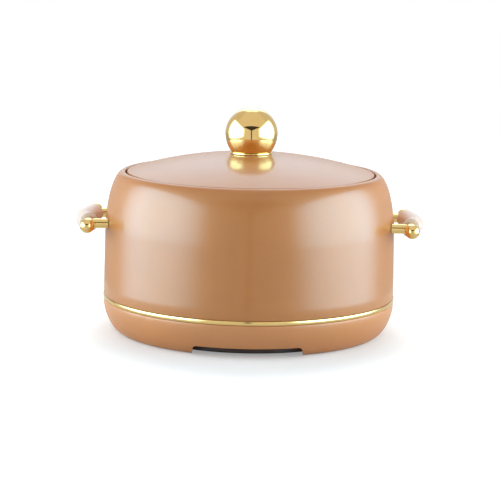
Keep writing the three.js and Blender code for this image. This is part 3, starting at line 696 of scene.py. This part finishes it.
def spun_steel():
    """Satin stainless steel with the fine rings that spinning and polishing leave."""
    material, recipe, shader = material_of("bowl_steel", Metallic=1.0, IOR=2.6)
    where = recipe.node("TexCoord", gives="Object")
    level = recipe.node("SeparateXYZ", None, {0: where}, gives=2)
    flat = recipe.node("VectorMath", {"operation": "MULTIPLY"}, {0: where, 1: (1, 1, 0)})
    radius = recipe.node("VectorMath", {"operation": "LENGTH"}, {0: flat}, gives=1)
    across = recipe.node("CombineXYZ", None, {0: radius, 1: level, 2: 0.0})
    rings = recipe.node("TexNoise", {"noise_dimensions": "2D"},
                        {"Vector": across, "Scale": 550, "Detail": 1})
    cloud = recipe.node("TexNoise", None, {"Vector": where, "Scale": 25, "Detail": 3})
    skin = recipe.node("Bump", None, {"Strength": 0.1, "Distance": 0.02 * MM, "Height": rings})
    recipe.feed(shader.inputs["Base Color"], recipe.mottle((0.72, 0.635, 0.57), (0.78, 0.69, 0.62), rings))
    recipe.feed(shader.inputs["Roughness"], recipe.stretch(cloud, 0.25, 0.75, 0.28, 0.34))
    recipe.feed(shader.inputs["Normal"], skin)
    return material


bowl_steel = spun_steel()
bowl_inner, bowl_wall, bowl_corner, roll_radius = 97.0, 0.8, 20.0, 1.5
bead_outer, bead_crest, bead_inner, bead_height = 62.0, 60.6, 59.2, 0.5
bowl_floor, bowl_rim_high = levels("inner_pot")
bowl_outer, bowl_rim_outer = bowl_inner + bowl_wall, reach("inner_pot")
corner_centre = (bowl_outer - bowl_corner, bowl_floor + bowl_corner)
inner_corner, bowl_floor_high = bowl_corner - bowl_wall, bowl_floor + bowl_wall
bowl_outline = [
    (0, bowl_floor),
    *arc(corner_centre, bowl_corner, bowl_corner, -90, 0, 14),
    (bowl_outer, bowl_rim_high - bowl_wall),
    (bowl_rim_outer, bowl_rim_high - bowl_wall),
    (bowl_rim_outer, bowl_rim_high),
    *arc((bowl_inner + roll_radius, bowl_rim_high - roll_radius), roll_radius, roll_radius, 90, 180, 5),
    *arc(corner_centre, inner_corner, inner_corner, 0, -90, 14),
    (bead_outer, bowl_floor_high), (bead_crest, bowl_floor_high + bead_height),
    (bead_inner, bowl_floor_high), (0, bowl_floor_high),
]
inner_pot = turn("inner_pot_spinning", bowl_outline)
fit(inner_pot, bowl_steel, "pot", "bowl_steel", "inner_pot")


def dress(finish, *nodes):
    """Gives CAD nodes that stay as they are their finish."""
    for node in nodes:
        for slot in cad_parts[node].material_slots:
            slot.material = finish


def poured_foam():
    """Yellowish poured foam, open-celled and streaked."""
    material, recipe, shader = material_of("foam", Roughness=0.95)
    where = recipe.node("TexCoord", gives="Object")
    cells = recipe.node("TexVoronoi", {"feature": "SMOOTH_F1"}, {"Vector": where, "Scale": 700})
    streaks = recipe.node("TexNoise", None, {"Vector": where, "Scale": 14, "Detail": 4})
    skin = recipe.node("Bump", None, {"Strength": 0.6, "Distance": 0.5 * MM, "Height": cells})
    recipe.feed(shader.inputs["Base Color"], recipe.mottle((0.66, 0.53, 0.29), (0.83, 0.72, 0.46), streaks))
    recipe.feed(shader.inputs["Normal"], skin)
    return material


foam = poured_foam()
dress(foam, "body_insulation", "lid_insulation")


# Handles: on each side two gold-plated brass tees, screwed from inside the shell through a steel strip,
# carry a steel tie rod with a bowed lacquered grip between them. A gold-plated ball nut closes each end of
# the rod.
bright_gold = gold_plate("gold_plate", roughness=0.07, lines=0.0)
handle_level, grip_line, post_spread = sum(levels("right_grip")) / 2, 141.55, 31.5
post_radius, post_sink, post_stop, wall_face = 4.25, 6.0, 2.4, 129.16
ferrule_radius, ferrule_start, ferrule_end, ferrule_edge = 5.6, 27.25, 42.0, 0.9
rod_bore = 2.3

grip_half, grip_end_radius, grip_middle_radius, grip_bow, grip_edge = 26.95, 8.5, 7.7, 5.8, 1.0
grip_axis = (grip_line, 0, handle_level)


def grip_radius(place):
    """The grip is slimmest in its middle."""
    return grip_middle_radius + (grip_end_radius - grip_middle_radius) * (place / grip_half) ** 2


def grip_piece():
    """The grip, turned straight and then bowed away from the pot ring by ring."""
    flat_end = grip_half - grip_edge
    stations = [flat_end * math.sin(math.radians(a)) for a in range(-90, 91, 6)]
    round_end = arc((grip_end_radius - grip_edge, flat_end), grip_edge, grip_edge, 0, 90, 5)[1:]
    outline = [(rod_bore, -grip_half), *[(r, -y) for r, y in reversed(round_end)],
               *[(grip_radius(y), y) for y in stations], *round_end,
               (rod_bore, grip_half), (rod_bore, 0), (rod_bore, -grip_half)]
    piece = turn("right_grip_bar", outline, "Y", grip_axis, steps=64)
    bpy.ops.object.mode_set(mode="EDIT")
    mesh = bmesh.from_edit_mesh(piece.data)
    for y in sorted({round(v.co.y / MM, 3) for v in mesh.verts}):
        for vert in mesh.verts:
            vert.select = abs(vert.co.y / MM - y) < 0.002
        bmesh.update_edit_mesh(piece.data)
        bow = grip_bow * (1 - min(1, abs(y) / grip_half) ** 2)
        bpy.ops.transform.translate(value=(bow * MM, 0, 0))
        mesh = bmesh.from_edit_mesh(piece.data)
    bpy.ops.object.mode_set(mode="OBJECT")
    return piece


def bracket_piece():
    """One tee: a ferrule round the rod, and a post whose end is cut to the curve of the shell."""
    edge_middle = ferrule_radius - ferrule_edge
    outline = [(rod_bore, ferrule_start),
               *arc((edge_middle, ferrule_start + ferrule_edge), ferrule_edge, ferrule_edge, -90, 0, 3),
               *arc((edge_middle, ferrule_end - ferrule_edge), ferrule_edge, ferrule_edge, 0, 90, 3),
               (rod_bore, ferrule_end), (rod_bore, ferrule_start)]
    tee = turn("right_rear_bracket_tee", outline, "Y", grip_axis, steps=64)
    bpy.ops.object.select_all(action="DESELECT")
    post_start, post_end = wall_face - post_sink, grip_line - post_stop
    bpy.ops.mesh.primitive_cylinder_add(
        vertices=56, radius=post_radius * MM, depth=(post_end - post_start) * MM,
        rotation=(0, math.pi / 2, 0),
        location=((post_start + post_end) / 2 * MM, post_spread * MM, handle_level * MM))
    bpy.ops.object.transform_apply(location=True, rotation=True, scale=True)
    post = bpy.context.object
    apply_modifier(tee, "BOOLEAN", operation="UNION", solver="EXACT", object=post)
    bpy.data.objects.remove(post)
    carve(tee, rod("shell_curve", wall_face, handle_level - 20, handle_level + 20, vertices=256))
    soften_edges(tee, 0.25, sharper_than=50, segments=2)
    return tee


ball_radius, ball_along, ball_seat, ball_bore_end = 6.4, 47.0, 42.3, 49.1


def ball_piece():
    """One ball nut, flat where it meets the ferrule, with a blind hole for the rod."""
    seat_angle = math.degrees(math.asin((ball_seat - ball_along) / ball_radius))
    outline = [(rod_bore, ball_seat),
               *arc((0, ball_along), ball_radius, ball_radius, seat_angle, 90, 26)[:-1],
               (0, ball_along + ball_radius), (0, ball_bore_end), (rod_bore, ball_bore_end),
               (rod_bore, ball_seat)]
    return turn("right_rear_ball_nut", outline, "Y", grip_axis, steps=64)


grip_lacquer = lacquer("grip_lacquer", roughness=0.6, coat=0.35, coat_roughness=0.25,
                       ground_colour=(0.80, 0.66, 0.57))
right_grip = grip_piece()
right_bracket = bracket_piece()
right_ball = ball_piece()
for side_name, side in (("right", 1), ("left", -1)):
    grip = right_grip if side > 0 else copy_of(right_grip, "left_grip_bar", (-1, 1, 1))
    fit(grip, grip_lacquer, "pot", "lacquer", f"{side_name}_grip")
    for end_name, end in (("rear", 1), ("front", -1)):
        is_first = side > 0 and end > 0
        tee_name, nut_name = f"{side_name}_{end_name}_bracket", f"{side_name}_{end_name}_ball"
        tee = right_bracket if is_first else copy_of(right_bracket, tee_name + "_tee", (side, end, 1))
        nut = right_ball if is_first else copy_of(right_ball, nut_name + "_nut", (side, end, 1))
        fit(tee, bright_gold, "pot", "gold_plate", tee_name)
        fit(nut, bright_gold, "pot", "gold_plate", nut_name)
        dress(steel_fasteners, f"{side_name}_{end_name}_handle_screw")
    dress(steel_fasteners, f"{side_name}_tie_rod", f"{side_name}_backing_strip")


# Lid: a shallow moulded dome in the shell's lacquer, sunk flush in the mouth, with a steel pan pressed into
# its rim, foam between the two and a silicone seal round the pan that rests on the collar.
lid_radius, lid_wall, lid_edge_round, stud_hole = reach("lid_cover"), 2.2, 0.8, 3.3
lid_crown, lid_sink = 17.0, 0.15
lid_edge_level, lid_rim_low = rim_level - lid_sink, levels("lid_cover")[0]
lid_apex = lid_edge_level + lid_crown
dome_radius = (lid_radius ** 2 + lid_crown ** 2) / (2 * lid_crown)


def dome_level(radius, inset=0.0):
    """The dome's level at a radius, or that of its inner face, set in from it."""
    return lid_apex - dome_radius + math.sqrt((dome_radius - inset) ** 2 - radius ** 2)


def dome_points(from_radius, to_radius, steps, inset=0.0):
    """Points along the dome between two radii."""
    radii = [from_radius + (to_radius - from_radius) * i / steps for i in range(steps + 1)]
    return [(r, dome_level(r, inset)) for r in radii]


edge_centre = (lid_radius - lid_edge_round, lid_edge_level - lid_edge_round)
lid_inner = lid_radius - lid_wall
cover_outline = [
    *dome_points(stud_hole, lid_radius - lid_edge_round * 0.7, 40),
    *arc(edge_centre, lid_edge_round, lid_edge_round, 65, 0, 5),
    (lid_radius, lid_rim_low),
    (lid_inner, lid_rim_low),
    *dome_points(lid_inner, stud_hole, 12, lid_wall),
    (stud_hole, dome_level(stud_hole)),
]
lid_cover = turn("lid_cover_dome", cover_outline, steps=180)
fit(lid_cover, gloss_lacquer, "lid", "lacquer", "lid_cover")

liner_radius, liner_flange, liner_wall, liner_corner = 96.2, reach("lid_liner"), 0.8, 3.0
ring_start, ring_end, ring_slope, ring_depth = 20.0, 24.0, 1.0, 0.5
liner_low = levels("lid_liner")[0]
ring_level, flange_high = liner_low + ring_depth, lid_rim_low + liner_wall
liner_centre = (liner_radius - liner_corner, liner_low + liner_corner)
inner_corner = liner_corner - liner_wall
liner_outline = [
    (0, liner_low), (ring_start, liner_low), (ring_start + ring_slope, ring_level),
    (ring_end - ring_slope, ring_level), (ring_end, liner_low),
    *arc(liner_centre, liner_corner, liner_corner, -90, 0, 8),
    (liner_radius, lid_rim_low), (liner_flange, lid_rim_low), (liner_flange, flange_high),
    (liner_radius - liner_wall, flange_high),
    *arc(liner_centre, inner_corner, inner_corner, 0, -90, 8),
    (0, liner_low + liner_wall),
]
lid_liner = turn("lid_liner_pan", liner_outline)
fit(lid_liner, bowl_steel, "lid", "bowl_steel", "lid_liner")

seal_rubber = grained_plastic("seal", (0.80, 0.76, 0.70), roughness=0.55, grain_size=0.4,
                              grain_depth=0.02)
gasket_low, gasket_high = levels("lid_gasket")
gasket_inner, gasket_outer, gasket_bevel = 96.5, reach("lid_gasket"), 0.6
channel_start, channel_end, channel_slope, channel_level = 101.0, 103.0, 0.3, gasket_low + 0.4
gasket_outline = [
    (gasket_inner, gasket_low + gasket_bevel), (gasket_inner + gasket_bevel, gasket_low),
    (channel_start, gasket_low), (channel_start + channel_slope, channel_level),
    (channel_end - channel_slope, channel_level), (channel_end, gasket_low),
    (gasket_outer, gasket_low), (gasket_outer, gasket_high), (gasket_inner, gasket_high),
    (gasket_inner, gasket_low + gasket_bevel)]
lid_gasket = turn("lid_gasket_seal", gasket_outline)
soften_edges(lid_gasket, 0.2)
fit(lid_gasket, seal_rubber, "lid", "seal", "lid_gasket")


# Knob: a gold-plated ball on a thin plated ring, drawn down onto the lid by a stud with a washer and nut
# inside the lid.
ring_radius, ring_top, ring_bevel, ring_gap = reach("knob_ring"), levels("knob_ring")[1], 0.4, 0.3
ring_outline = [
    (stud_hole, dome_level(stud_hole) + ring_gap), (ring_radius, dome_level(ring_radius) + ring_gap),
    (ring_radius, ring_top - ring_bevel), (ring_radius - ring_bevel, ring_top), (stud_hole, ring_top),
    (stud_hole, dome_level(stud_hole) + ring_gap)]
knob_ring = turn("knob_ring_plate", ring_outline)
soften_edges(knob_ring, 0.15, segments=2)
fit(knob_ring, bright_gold, "lid", "gold_plate", "knob_ring")

knob_radius, knob_foot_share, knob_stretch, bore_depth = 23.1, 0.78, 1.085, 20.3
knob_foot_level = levels("knob_ball")[0]
knob_lower = knob_radius * knob_stretch
knob_centre = knob_foot_level + knob_lower * math.sqrt(1 - knob_foot_share ** 2)
foot_angle = -math.degrees(math.acos(knob_foot_share))
bore_top = knob_foot_level + bore_depth
knob_outline = [
    (0, bore_top), (stud_hole, bore_top), (stud_hole, knob_foot_level),
    *arc((0, knob_centre), knob_radius, knob_lower, foot_angle, 0, 24),
    *arc((0, knob_centre), knob_radius, knob_radius, 0, 90, 40)[1:-1],
    (0, knob_centre + knob_radius),
]
knob_ball = turn("knob_ball_turning", knob_outline)
fit(knob_ball, bright_gold, "lid", "gold_plate", "knob_ball")
dress(steel_fasteners, "knob_stud", "knob_washer", "knob_nut")
